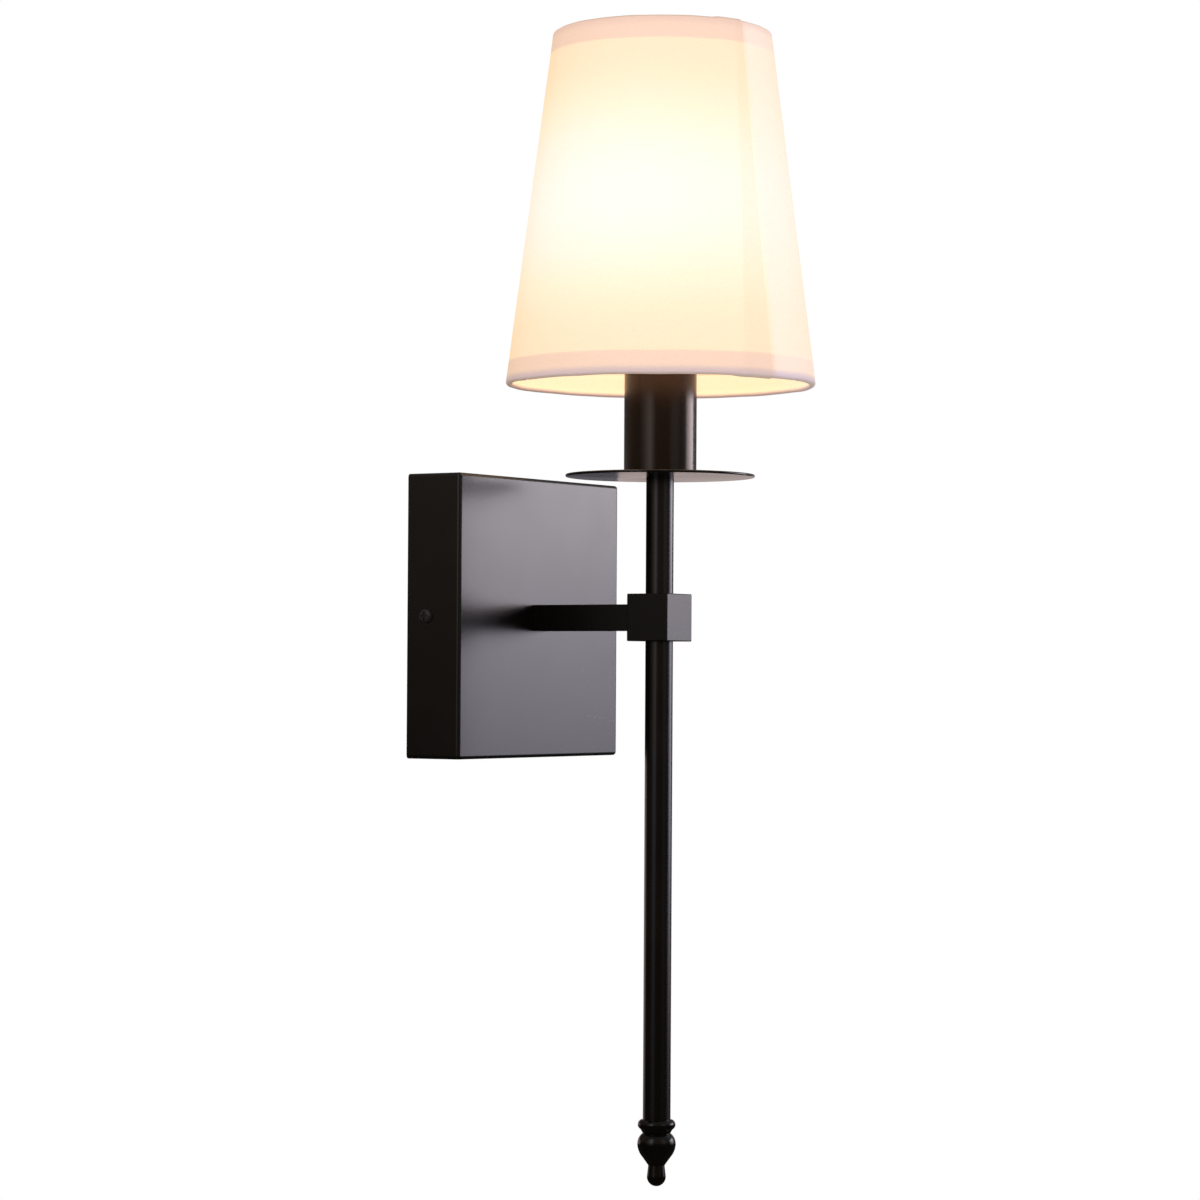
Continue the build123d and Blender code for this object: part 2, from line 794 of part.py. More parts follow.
# Insulator and tip contact at the end of the bulb's base
with BuildPart() as bulb_insulator:
    with BuildSketch(rod_section):
        with BuildLine():
            Polyline(
                (0, insulator_bottom),
                (tip_radius + insulator_rim, insulator_bottom),
                (base_root - insulator_rim, base_bottom),
                (0, base_bottom),
                close=True,
            )
        make_face()
    revolve(axis=rod_axis)
save(bulb_insulator, "bulb_insulator")
with BuildPart() as bulb_contact:
    with BuildSketch(on_rod(bulb_tip)):
        Circle(tip_radius)
    extrude(amount=tip_height)
    fillet(bulb_contact.edges().group_by(Axis.Z)[0], radius=0.6 * tip_height)
save(bulb_contact, "bulb_contact")


def lead_piece(points, bends):
    """A round lead along straight runs joined by bends."""
    with BuildPart() as piece:
        with BuildLine() as path:
            FilletPolyline(*points, radius=bends)
        with BuildSketch(path.line ^ 0):
            Circle(lead_radius)
        sweep()
    return piece


def supply_lead(side):
    """One supply lead from its terminal through rod, block and arm to its connector."""
    out = side * terminal_spread
    beside = side * lead_spread
    away = side * connector_spacing
    points = [
        (out, -rod_offset, terminal_bottom - seat_gap),
        (out, -rod_offset, terminal_bottom - lead_drop),
        (beside, -rod_offset, hub_top),
        (beside, -rod_offset, 0),
        (beside, -connector_setback, 0),
        (away, -connector_setback, -connector_drop / 2),
        (away, -connector_setback, lead_end),
    ]
    bends = [lead_small_bend, lead_bend, lead_block_bend, lead_bend, lead_bend]
    return lead_piece(points, bends)


# Line and neutral lead
lead_radius = lead_diameter / 2
lead_end = -connector_drop - connector_grip
line_lead = supply_lead(-1)
save(line_lead, "line_lead")
neutral_lead = supply_lead(1)
save(neutral_lead, "neutral_lead")

# Ground lead from the tag's tail to the middle connector
tail_line = tag_at - lead_radius - glue_gap
ground_points = [
    (0, -tail_line, tail_end + tag_tail_width),
    (0, -tail_line, tail_end - lead_diameter),
    (0, -connector_setback, -connector_drop + lead_diameter),
    (0, -connector_setback, lead_end),
]
ground_lead = lead_piece(ground_points, lead_small_bend)
save(ground_lead, "ground_lead")

# Connectors: three tapered caps over the ends of the leads
hanging = (Align.CENTER, Align.CENTER, Align.MAX)
with BuildPart() as wire_connectors:
    for index in (-1, 0, 1):
        with Locations((index * connector_spacing, -connector_setback, -connector_drop)):
            Cone(connector_end / 2, connector_mouth / 2, connector_height, align=hanging)
            Cylinder(
                lead_radius + thread_gap,
                connector_bore_depth,
                align=hanging,
                mode=Mode.SUBTRACT,
            )
save(wire_connectors, "wire_connectors")
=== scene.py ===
import json
import math

import bpy
from mathutils import Matrix, Vector


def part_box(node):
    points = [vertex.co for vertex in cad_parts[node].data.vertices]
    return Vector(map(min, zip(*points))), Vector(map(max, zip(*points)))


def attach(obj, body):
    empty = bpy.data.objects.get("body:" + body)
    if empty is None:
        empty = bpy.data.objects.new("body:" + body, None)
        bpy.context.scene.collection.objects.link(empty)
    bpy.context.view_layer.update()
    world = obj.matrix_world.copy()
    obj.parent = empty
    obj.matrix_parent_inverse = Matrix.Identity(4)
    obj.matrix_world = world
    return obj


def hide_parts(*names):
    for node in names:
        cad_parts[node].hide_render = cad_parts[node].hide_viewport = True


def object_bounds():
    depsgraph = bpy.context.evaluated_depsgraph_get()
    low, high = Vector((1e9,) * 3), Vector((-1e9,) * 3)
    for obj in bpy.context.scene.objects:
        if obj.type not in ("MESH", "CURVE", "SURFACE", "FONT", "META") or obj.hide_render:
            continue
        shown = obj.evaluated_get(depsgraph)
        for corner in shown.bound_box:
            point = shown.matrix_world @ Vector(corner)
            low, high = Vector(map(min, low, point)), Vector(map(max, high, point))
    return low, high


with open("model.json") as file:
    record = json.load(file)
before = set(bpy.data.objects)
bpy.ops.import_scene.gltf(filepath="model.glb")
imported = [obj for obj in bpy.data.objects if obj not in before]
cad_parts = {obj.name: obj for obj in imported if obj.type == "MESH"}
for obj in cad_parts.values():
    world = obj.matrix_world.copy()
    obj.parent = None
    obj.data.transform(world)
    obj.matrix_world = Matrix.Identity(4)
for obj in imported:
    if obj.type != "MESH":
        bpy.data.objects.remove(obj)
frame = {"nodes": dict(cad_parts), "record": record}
cad_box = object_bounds()
nodes = frame["nodes"]

MM = 0.001
X = 0
Z = 2
WHITE = (1.0, 1.0, 1.0)


def middle(name):
    """Middle of a CAD node's box."""
    low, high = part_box(name)
    return (low + high) / 2


def span(name, axis):
    """Length of a CAD node's box along one axis."""
    low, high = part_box(name)
    return (high - low)[axis]


AXIS = middle("lower_rod")


def circle_point(centre, radius, turn, level):
    """A point at that level, in that direction and that far from the upright line through centre."""
    return centre.x + radius * math.cos(turn), centre.y + radius * math.sin(turn), level


def smooth(share):
    """0 up to 0, 1 from 1 on, smooth between."""
    share = min(max(share, 0.0), 1.0)
    return share * share * (3 - 2 * share)


def link_object(name, data):
    """A new object in the scene."""
    made = bpy.data.objects.new(name, data)
    bpy.context.scene.collection.objects.link(made)
    return made


# Short calls for shader nodes
NOISE_LOW = 0.3
NOISE_HIGH = 0.7


def add_node(tree, kind, inputs=None, **settings):
    """A node with its settings and its inputs, which are plain values or other nodes' outputs."""
    made = tree.nodes.new(kind)
    for name, value in settings.items():
        setattr(made, name, value)
    fill_inputs(tree, made, inputs or {})
    return made


def fill_inputs(tree, made, inputs):
    """Links or sets a node's inputs by name or number."""
    for name, value in inputs.items():
        if isinstance(value, bpy.types.NodeSocket):
            tree.links.new(value, made.inputs[name])
        else:
            made.inputs[name].default_value = value


def calc(tree, operation, *values):
    """Output of a Math node."""
    return add_node(tree, "ShaderNodeMath", dict(enumerate(values)), operation=operation).outputs[0]


def parts_of(tree, vector):
    """The X, Y and Z outputs of a vector."""
    return add_node(tree, "ShaderNodeSeparateXYZ", {0: vector}).outputs


def noise(tree, where, scale, detail):
    """Noise from 0 to 1, with the given number of lumps per metre."""
    inputs = {"Vector": where, "Scale": scale, "Detail": detail}
    return add_node(tree, "ShaderNodeTexNoise", inputs).outputs[0]


def stretched(tree, where, scales):
    """Coordinates with another scale along each axis."""
    return add_node(tree, "ShaderNodeMapping", {"Vector": where, "Scale": scales}).outputs[0]


def streaks(tree, where, scales, detail):
    """Noise with another number of lumps per metre along each axis."""
    return noise(tree, stretched(tree, where, scales), 1.0, detail)


def spread(tree, value, low, high, from_low=NOISE_LOW, from_high=NOISE_HIGH):
    """A value carried over to another range, held at its ends."""
    inputs = {"Value": value, "From Min": from_low, "From Max": from_high, "To Min": low, "To Max": high}
    return add_node(tree, "ShaderNodeMapRange", inputs).outputs[0]


def step_up(tree, value, start, end):
    """0 before start, 1 after end, smooth between."""
    inputs = {"Value": value, "From Min": start, "From Max": end}
    return add_node(tree, "ShaderNodeMapRange", inputs, interpolation_type="SMOOTHSTEP").outputs[0]


def step_down(tree, value, start, end):
    """1 before start, 0 after end, smooth between."""
    return calc(tree, "SUBTRACT", 1.0, step_up(tree, value, start, end))


def ramp(tree, value, *stops):
    """Colour from a list of (place, colour) stops."""
    made = add_node(tree, "ShaderNodeValToRGB", {"Fac": value})
    elements = made.color_ramp.elements
    while len(elements) < len(stops):
        elements.new(0.5)
    for element, (place, colour) in zip(elements, stops):
        element.position = place
        element.color = (*colour, 1.0)
    return made.outputs["Color"]


def two_tone(tree, value, dark, light):
    """Colour from dark to light over the middle of a noise's range."""
    return ramp(tree, value, (NOISE_LOW, dark), (NOISE_HIGH, light))


def mix_colours(tree, blend, colour, factor, other):
    """Output of a colour mix by a linked factor."""
    made = add_node(tree, "ShaderNodeMix", data_type="RGBA", blend_type=blend)
    sockets = {socket.name: socket for socket in made.inputs if socket.type == "RGBA"}
    tree.links.new(colour, sockets["A"])
    sockets["B"].default_value = (*other, 1.0)
    tree.links.new(factor, made.inputs[0])
    return [socket for socket in made.outputs if socket.type == "RGBA"][0]


def tint(tree, colour, factor, shade):
    """A colour multiplied by shade where factor is 1."""
    return mix_colours(tree, "MULTIPLY", colour, factor, shade)


def mixed(tree, colour, factor, other):
    """A colour replaced by another one where factor is 1."""
    return mix_colours(tree, "MIX", colour, factor, other)


def bump(tree, height, depth, under=None):
    """Normal from a height that runs from 0 to 1 over depth, on top of another normal if one is given."""
    inputs = {"Height": height, "Distance": depth}
    if under is not None:
        inputs["Normal"] = under
    return add_node(tree, "ShaderNodeBump", inputs).outputs[0]


def blend_heights(tree, first, second, share):
    """Two heights added, the second one scaled."""
    return calc(tree, "MULTIPLY_ADD", second, share, first)


def start_material(name):
    """A material with its node tree, its one shader and the piece's own coordinates."""
    material = bpy.data.materials.new(name)
    material.use_nodes = True
    tree = material.node_tree
    where = add_node(tree, "ShaderNodeTexCoord").outputs["Object"]
    return material, tree, tree.nodes["Principled BSDF"], where


# Scratches on the canopy's front face. Each noise is given by its lumps per metre and its detail
SCRATCH_WIDTH = 0.24 * MM
SCRATCH_CORE = 0.3 * SCRATCH_WIDTH
SCRATCH_GREY = (0.17, 0.165, 0.17)
SCRATCH_ROUGH = 0.12
SCRATCH_WAVER = 1.6 * MM
WAVER_NOISE = (60.0, 2.0)
GAP_NOISE = (420.0, 2.0)
GAP_RANGE = (0.38, 0.6)
FULL_FROM = 0.1
FULL_UP_TO = 0.7
FACE_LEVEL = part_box("canopy")[0].y
FACE_DEPTH = 0.3 * MM


def scratch(tree, where, start, end):
    """1 along a fine broken line between two points of the front face, given by their X and Z."""
    run = (end[0] - start[0], end[1] - start[1])
    length = math.hypot(*run)
    cosine = run[0] / length
    sine = run[1] / length
    parts = parts_of(tree, where)
    from_x = calc(tree, "SUBTRACT", parts["X"], start[0])
    from_z = calc(tree, "SUBTRACT", parts["Z"], start[1])
    along = calc(tree, "MULTIPLY_ADD", from_x, cosine, calc(tree, "MULTIPLY", from_z, sine))
    aside = calc(tree, "SUBTRACT", calc(tree, "MULTIPLY", from_z, cosine),
                 calc(tree, "MULTIPLY", from_x, sine))
    waver = calc(tree, "SUBTRACT", noise(tree, where, *WAVER_NOISE), 0.5)
    aside = calc(tree, "ADD", aside, calc(tree, "MULTIPLY", waver, SCRATCH_WAVER))
    line = step_down(tree, calc(tree, "ABSOLUTE", aside), SCRATCH_CORE, SCRATCH_WIDTH)
    begun = step_up(tree, along, 0.0, FULL_FROM * length)
    ended = step_up(tree, along, FULL_UP_TO * length, length)
    gaps = step_up(tree, noise(tree, where, *GAP_NOISE), *GAP_RANGE)
    on_face = calc(tree, "LESS_THAN", parts["Y"], FACE_LEVEL + FACE_DEPTH)
    whole = calc(tree, "MULTIPLY", line, calc(tree, "SUBTRACT", begun, ended))
    return calc(tree, "MULTIPLY", whole, calc(tree, "MULTIPLY", gaps, on_face))


def crowned(tree, where, radius):
    """Normal of a flat front face that is domed very slightly, to that radius."""
    flat = stretched(tree, where, (1.0, 0.0, 1.0))
    squared = add_node(tree, "ShaderNodeVectorMath", {0: flat, 1: flat}, operation="DOT_PRODUCT")
    return bump(tree, calc(tree, "MULTIPLY", squared.outputs["Value"], -0.5 / radius), 1.0)


# Paint, metal and plastic finishes
PAINT_CLOUDS = (38.0, 4.0)
PAINT_PEEL = (650.0, 1.0)
PAINT_GRAIN = (3600.0, 2.0)
PAINT_GRAIN_SHARE = 0.25
PAINT_BUMP = 0.012 * MM
METAL_CLOUDS = (160.0, 4.0)
METAL_DETAIL = 3.0
METAL_BUMP = 0.015 * MM
EVEN_GRAIN = (900.0, 900.0, 900.0)
LONG_GRAIN = (1500.0, 1500.0, 120.0)
PLASTIC_FLOW = (90.0, 90.0, 35.0)
PLASTIC_DETAIL = 5.0
PLASTIC_GRAIN = (2600.0, 2.0)
PLASTIC_BUMP = 0.02 * MM


def satin_paint(name, dark, light, rough, ior=1.5, gloss=WHITE, scratches=(), crown=None, warm_lit=None):
    """Sprayed paint: faint orange peel and grain, with patches of other colour and sheen.

    gloss tints the highlights, scratches are pairs of points, crown is a domed face's radius, and
    the last argument gives two heights and the colour of painted warm light that the paint takes on
    between them.
    """
    material, tree, shader, where = start_material(name)
    clouds = noise(tree, where, *PAINT_CLOUDS)
    peel = noise(tree, where, *PAINT_PEEL)
    grain = noise(tree, where, *PAINT_GRAIN)
    colour = two_tone(tree, clouds, dark, light)
    sheen = spread(tree, clouds, *rough)
    # Painted warm light: between two heights the colour turns to a warmer one
    if warm_lit is not None:
        start, end, warm_colour = warm_lit
        colour = mixed(tree, colour, step_up(tree, parts_of(tree, where)["Z"], start, end), warm_colour)
    for start, end in scratches:
        mark = scratch(tree, where, start, end)
        colour = mixed(tree, colour, mark, SCRATCH_GREY)
        sheen = calc(tree, "MULTIPLY_ADD", mark, SCRATCH_ROUGH, sheen)
    under = None if crown is None else crowned(tree, where, crown)
    fill_inputs(tree, shader, {
        "Base Color": colour,
        "Roughness": sheen,
        "IOR": ior,
        "Specular Tint": (*gloss, 1.0),
        "Normal": bump(tree, blend_heights(tree, peel, grain, PAINT_GRAIN_SHARE), PAINT_BUMP, under),
    })
    return material


def plated_metal(name, dark, light, rough, grain_scales=EVEN_GRAIN):
    """Bare or plated metal: cloudy colour, fine drawn grain and uneven sheen."""
    material, tree, shader, where = start_material(name)
    clouds = noise(tree, where, *METAL_CLOUDS)
    grain = streaks(tree, where, grain_scales, METAL_DETAIL)
    fill_inputs(tree, shader, {
        "Base Color": two_tone(tree, clouds, dark, light),
        "Roughness": spread(tree, grain, *rough),
        "Metallic": 1.0,
        "Normal": bump(tree, grain, METAL_BUMP),
    })
    return material


def moulded_plastic(name, dark, light, rough, ior=1.5):
    """Moulded plastic: soft flow clouds and a fine spark-eroded grain."""
    material, tree, shader, where = start_material(name)
    flow = streaks(tree, where, PLASTIC_FLOW, PLASTIC_DETAIL)
    grain = noise(tree, where, *PLASTIC_GRAIN)
    fill_inputs(tree, shader, {
        "Base Color": two_tone(tree, flow, dark, light),
        "Roughness": spread(tree, grain, *rough),
        "IOR": ior,
        "Normal": bump(tree, grain, PLASTIC_BUMP),
    })
    return material


# The shade's layout, from the two wires in its hems
CLOTH_SHEET = 0.4 * MM
WIRE_GAP = 0.2 * MM
HEM_WIDTH = 10.4 * MM
HEM_SLOPE = 2.0 * MM
HEM_DEPTH = 1.4 * MM
SEAM_START = math.radians(243.0)
SEAM_WIDTH = 13.5 * MM
SEAM_SLANT = 9.0 * MM
SLANT_FADE = math.radians(50.0)
SEAM_LIFT = 0.45 * MM
SEAM_RAMP = 5.0 * MM
ARM_TURNS = [math.radians(turn) for turn in (32.0, 152.0, 272.0)]
NOTCH_WIDTH = 3.2 * MM
NOTCH_CLEAR = 1.3
NOTCH_REST = 5
RIM_SAG = 0.25 * MM
SAG_REACH = 3 * HEM_WIDTH
HEM_ARC_STEPS = 14
FACE_STEPS = 44
AROUND_STEPS = 240
LAP_STEPS = 7

# Waves of the cloth's face, in millimetres, and of its bottom edge: size, waves round, waves up, phase
RIPPLES = [(0.05, 5, 0, 1.1), (0.04, 11, 30, 0.0), (0.03, 23, 0, 2.0)]
RIM_WAVES = [(0.5, 2, 0, 0.7), (0.3, 7, 0, 2.2), (0.2, 13, 0, 0.0)]

wire_radius = span("bottom_wire", Z) / 2
bottom_ring = span("bottom_wire", X) / 2 - wire_radius
top_ring = span("top_wire", X) / 2 - wire_radius
bottom_level = middle("bottom_wire").z
top_level = middle("top_wire").z
roll = wire_radius + WIRE_GAP + CLOTH_SHEET
lean = math.atan2(bottom_ring - top_ring, top_level - bottom_level)
slope = math.hypot(bottom_ring - top_ring, top_level - bottom_level) + 2 * roll
rim_radius = bottom_ring + roll * (math.sin(lean) + math.cos(lean))
rim_level = bottom_level + roll * (math.sin(lean) - math.cos(lean))
mean_radius = rim_radius - slope * math.sin(lean) / 2


def on_slope(along, inward):
    """(radius, height) of a point that far up the shade's face and that far in from it."""
    radius = rim_radius - along * math.sin(lean) - inward * math.cos(lean)
    return radius, rim_level + along * math.cos(lean) - inward * math.sin(lean)


def hem_path():
    """(along, inward) of the sheet's middle from the hem's free edge round the wire to the face."""
    inset = CLOTH_SHEET / 2
    bend = roll - inset
    depth = HEM_DEPTH - inset
    slope_end = 2 * roll + HEM_SLOPE
    across = slope_end - roll
    reach = math.hypot(across, depth - roll)
    leave = math.atan2(depth - roll, across) + math.acos(bend / reach)
    points = [(HEM_WIDTH, depth), (slope_end, depth)]
    for index in range(HEM_ARC_STEPS + 1):
        turn = leave + (1.5 * math.pi - leave) * index / HEM_ARC_STEPS
        points.append((roll + bend * math.cos(turn), roll + bend * math.sin(turn)))
    return points


def cloth_path():
    """(radius, height, along) of the sheet's middle from the bottom hem's edge to the top hem's edge."""
    hem = hem_path()
    face = [roll + (slope - 2 * roll) * index / FACE_STEPS for index in range(1, FACE_STEPS)]
    path = hem + [(along, CLOTH_SHEET / 2) for along in face]
    path += [(slope - along, inward) for along, inward in reversed(hem)]
    return [(*on_slope(along, inward), along) for along, inward in path]


def outward_normals(path):
    """Normals of the path, away from the wires."""
    normals = []
    for index in range(len(path)):
        before = path[max(index - 1, 0)]
        after = path[min(index + 1, len(path) - 1)]
        run = (after[0] - before[0], after[1] - before[1])
        size = math.hypot(*run)
        normals.append((run[1] / size, -run[0] / size))
    return normals


def lengths_along(path):
    """Length of the path from its start to each of its points."""
    lengths = [0.0]
    for before, after in zip(path, path[1:]):
        lengths.append(lengths[-1] + math.hypot(after[0] - before[0], after[1] - before[1]))
    return lengths


def cloth_turns():
    """Angles along the strip from its inner end to its outer end, with extra ones at the arms' notches."""
    overlap = SEAM_WIDTH / mean_radius
    turns = [2 * math.pi * index / AROUND_STEPS for index in range(AROUND_STEPS)]
    turns += [2 * math.pi + overlap * index / LAP_STEPS for index in range(LAP_STEPS + 1)]
    notches = []
    for arm in ARM_TURNS:
        at = (arm - SEAM_START) % (2 * math.pi)
        half = NOTCH_WIDTH / 2 / bottom_ring
        turns = [turn for turn in turns if abs(turn - at) > half * NOTCH_CLEAR]
        turns += [at - half, at + half]
        notches.append((at - half, at + half))
    return sorted(turns), notches


def waves(table, turn, rise=0.0):
    """Sum of a table's waves at an angle and at a share of the way up."""
    return sum(size * math.sin(around * turn + up * rise + phase) for size, around, up, phase in table)


def cloth_points(path, turns):
    """The sheet's points, column by column, and their places on its weave, strip and fold maps."""
    normals = outward_normals(path)
    lengths = lengths_along(path)
    face_start = lengths[len(hem_path()) - 1] - roll
    cone_reach = rim_radius / math.sin(lean)
    points = []
    maps = {"weave": [], "strip": [], "fold": []}
    for column_turn in turns:
        lift = SEAM_LIFT * smooth((column_turn - 2 * math.pi) * mean_radius / SEAM_RAMP + 1)
        slant = SEAM_SLANT / mean_radius * max(0.0, 1 - column_turn / SLANT_FADE)
        for (radius, height, along), normal, length in zip(path, normals, lengths):
            turn = column_turn + slant * along / slope
            away = lift + waves(RIPPLES, turn, along / slope) * MM
            sag = RIM_SAG * smooth(1 - along / SAG_REACH) * waves(RIM_WAVES, turn)
            level = height + normal[1] * away + sag
            points.append(circle_point(AXIS, radius + normal[0] * away, SEAM_START + turn, level))
            folded = length - face_start
            reach = cone_reach - folded
            flat_turn = (turn - math.pi) * math.sin(lean)
            maps["weave"].append((reach * math.sin(flat_turn), reach * math.cos(flat_turn) - cone_reach))
            maps["strip"].append((turn * mean_radius, along))
            maps["fold"].append((folded, 0.0))
    return points, maps


def cloth_faces(turns, notches, across):
    """Faces between columns of points, left out where an arm passes through the bottom hem."""
    notch_end = len(hem_path()) - NOTCH_REST
    faces = []
    for column in range(len(turns) - 1):
        at = (turns[column] + turns[column + 1]) / 2
        notched = any(start < at < end for start, end in notches)
        for row in range(notch_end if notched else 0, across - 1):
            corner = column * across + row
            faces.append((corner, corner + across, corner + across + 1, corner + 1))
    return faces


def build_cloth():
    """The shade's cover: one sheet round the frame, lapped at its seam and folded round both wires."""
    path = cloth_path()
    turns, notches = cloth_turns()
    points, maps = cloth_points(path, turns)
    mesh = bpy.data.meshes.new("shade_cloth")
    mesh.from_pydata(points, [], cloth_faces(turns, notches, len(path)))
    for name, places in maps.items():
        layer = mesh.uv_layers.new(name=name)
        for loop in mesh.loops:
            layer.data[loop.index].uv = places[loop.vertex_index]
    mesh.shade_smooth()
    piece = link_object("shade_cloth", mesh)
    thick = piece.modifiers.new("thickness", "SOLIDIFY")
    thick.thickness = CLOTH_SHEET
    thick.offset = 0.0
    even = piece.modifiers.new("even_normals", "WEIGHTED_NORMAL")
    even.weight = 100
    return piece


# Light that comes through the shade: brightest beside the bulb, warmer towards the edges
bulb_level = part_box("bulb_glass")[1].z - span("bulb_glass", X) / 2
GLOW_LEVEL = bulb_level - 3.0 * MM
GLOW_REACH = 46.0 * MM
# Painted brighter glow on two opposite sides of the cloth, and how much it drops between them
BRIGHT_SIDE_TURN = math.radians(184.0)
DIM_SIDE_LOSS = 0.22
GLOW_STOPS = [
    (0.0, (0.742, 0.442, 0.196)),
    (0.2, (0.792, 0.492, 0.240)),
    (0.45, (0.867, 0.580, 0.346)),
    (0.7, (0.942, 0.630, 0.471)),
    (1.0, (0.992, 0.680, 0.596)),
]


def glow_share(tree, where):
    """1 beside the bulb, falling towards the shade's edges."""
    height = parts_of(tree, where)["Z"]
    away = calc(tree, "DIVIDE", calc(tree, "SUBTRACT", height, GLOW_LEVEL), GLOW_REACH)
    return calc(tree, "EXPONENT", calc(tree, "MULTIPLY", calc(tree, "MULTIPLY", away, away), -1.0))


def painted_bright_sides(tree, where):
    """1 on the sides of the cloth facing one way and its opposite, less between them: a painted brighter
    glow there.
    """
    parts = parts_of(tree, where)
    aside = calc(tree, "SUBTRACT", parts["X"], AXIS.x)
    ahead = calc(tree, "SUBTRACT", parts["Y"], AXIS.y)
    turn = calc(tree, "SUBTRACT", calc(tree, "ARCTAN2", ahead, aside), BRIGHT_SIDE_TURN)
    sine = calc(tree, "SINE", turn)
    return calc(tree, "MULTIPLY_ADD", calc(tree, "MULTIPLY", sine, sine), -DIM_SIDE_LOSS, 1.0)


# The cloth's finish, and tints of its painted glow: painted shade in hems, seam, rolled edges, rims and
# threads, painted light inside the hems
HEM_SHADE = (0.79, 0.66, 0.78)
INSIDE_HEM = (1.0, 1.25, 1.62)
SEAM_SHADE = (0.95, 0.91, 0.85)
ROLL_SHADE = (0.46, 0.38, 0.80)
TOP_ROLL_SHADE = (0.84, 0.72, 0.74)
RIM_SHADE = (0.55, 0.50, 0.40)
# Painted shade along the rolled rims, darkening the cloth's base colour
RIM_BASE_SHADE = (0.90, 0.86, 0.80)
THREAD_SHADE = (0.93, 0.92, 0.90)
CLOTH_DARK = (0.80, 0.76, 0.70)
CLOTH_LIGHT = (0.86, 0.83, 0.78)
CLOTH_ROUGH = (0.95, 0.8)
CLOTH_SPECULAR = 0.15
FUZZ = 0.25
FUZZ_ROUGH = 0.45
FUZZ_TINT = (1.0, 1.0, 0.30)
THREAD_PITCH = 0.62 * MM
THREAD_DIP = 0.35
GAP_LEVEL = 0.3
SLUB_FINE = 1900.0
SLUB_LONG = 60.0
SLUB_DETAIL = 2.0
SLUB_RANGE = (0.35, 0.65)
SLUB_SHARE = 0.6
WEAVE_BUMP = 0.08 * MM

# Where the cloth's zones begin and end, some as multiples of the rolled edge's radius
HEM_BLUR = 0.4 * MM
SEAM_BLUR = 0.3 * MM
ROLL_SPAN = (0.8 * roll, 3.1 * roll)
TOP_ROLL_SPAN = (0.8 * roll, 3.3 * roll)
RIM_SPAN = (0.25 * roll, 0.85 * roll)
INSIDE_START = 1.0 * roll
INSIDE_FULL = 2.2 * roll
BESIDE_START = 4.0 * MM
BESIDE_END = 115.0 * MM
BESIDE_FADE = 50.0 * MM
# Painted cooler daylight on the cloth beside the seam, mixed into its glow
BESIDE_DAYLIGHT = (0.750, 0.568, 0.515)
BESIDE_SHARE = 0.52


def cloth_map(tree, name):
    """A place on one of the cloth's maps, in metres."""
    return add_node(tree, "ShaderNodeUVMap", uv_map=name).outputs[0]


def thread_height(tree, across, along, parity):
    """Height of one set of threads: round ridges that dive under every second crossing."""
    ridge = calc(tree, "SINE", calc(tree, "MULTIPLY", across, math.pi / THREAD_PITCH))
    dive = calc(tree, "SINE", calc(tree, "MULTIPLY", along, math.pi / THREAD_PITCH))
    lift = spread(tree, calc(tree, "MULTIPLY", dive, parity), THREAD_DIP, 1.0, -1.0, 1.0)
    return calc(tree, "MULTIPLY", calc(tree, "ABSOLUTE", ridge), lift)


def weave_heights(tree):
    """Height of the plain weave, and of the thick and thin stretches of its threads."""
    flat = cloth_map(tree, "weave")
    parts = parts_of(tree, flat)
    warp = thread_height(tree, parts["X"], parts["Y"], 1.0)
    weft = thread_height(tree, parts["Y"], parts["X"], -1.0)
    slub_up = streaks(tree, flat, (SLUB_FINE, SLUB_LONG, 1.0), SLUB_DETAIL)
    slub_round = streaks(tree, flat, (SLUB_LONG, SLUB_FINE, 1.0), SLUB_DETAIL)
    slubs = calc(tree, "MULTIPLY", calc(tree, "ADD", slub_up, slub_round), 0.5)
    return calc(tree, "MAXIMUM", warp, weft), slubs


def cloth_zones(tree):
    """Values that are 1 in one zone of the cloth: hems, rolled edges, rims, seam, beside it, inside."""
    strip = parts_of(tree, cloth_map(tree, "strip"))
    around, up = strip["X"], strip["Y"]
    folded = parts_of(tree, cloth_map(tree, "fold"))["X"]
    inside = calc(tree, "ADD", step_down(tree, folded, -INSIDE_FULL, -INSIDE_START),
                  step_up(tree, folded, slope + INSIDE_START, slope + INSIDE_FULL))
    outside = calc(tree, "SUBTRACT", 1.0, inside)
    from_top = calc(tree, "SUBTRACT", slope, up)
    from_edge = calc(tree, "MINIMUM", up, from_top)
    hem = step_down(tree, from_edge, HEM_WIDTH - HEM_BLUR, HEM_WIDTH + HEM_BLUR)
    lap_start = 2 * math.pi * mean_radius
    from_inner_end = calc(tree, "MULTIPLY_ADD", up, -SEAM_SLANT / slope, around)
    upper_layer = step_up(tree, from_inner_end, lap_start - SEAM_BLUR, lap_start + SEAM_BLUR)
    lower_layer = step_down(tree, around, SEAM_WIDTH - SEAM_BLUR, SEAM_WIDTH + SEAM_BLUR)
    beside = calc(tree, "SUBTRACT", step_up(tree, around, SEAM_WIDTH, SEAM_WIDTH + BESIDE_START),
                  step_up(tree, around, BESIDE_END - BESIDE_FADE, BESIDE_END))
    return {
        "hem": calc(tree, "MULTIPLY", hem, outside),
        "inside": inside,
        "seam": calc(tree, "MAXIMUM", upper_layer, lower_layer),
        "beside": calc(tree, "MULTIPLY", beside, BESIDE_SHARE),
        "rolled": calc(tree, "MULTIPLY", step_down(tree, up, *ROLL_SPAN), outside),
        "top_rolled": calc(tree, "MULTIPLY", step_down(tree, from_top, *TOP_ROLL_SPAN), outside),
        "rim": step_down(tree, from_edge, *RIM_SPAN),
    }


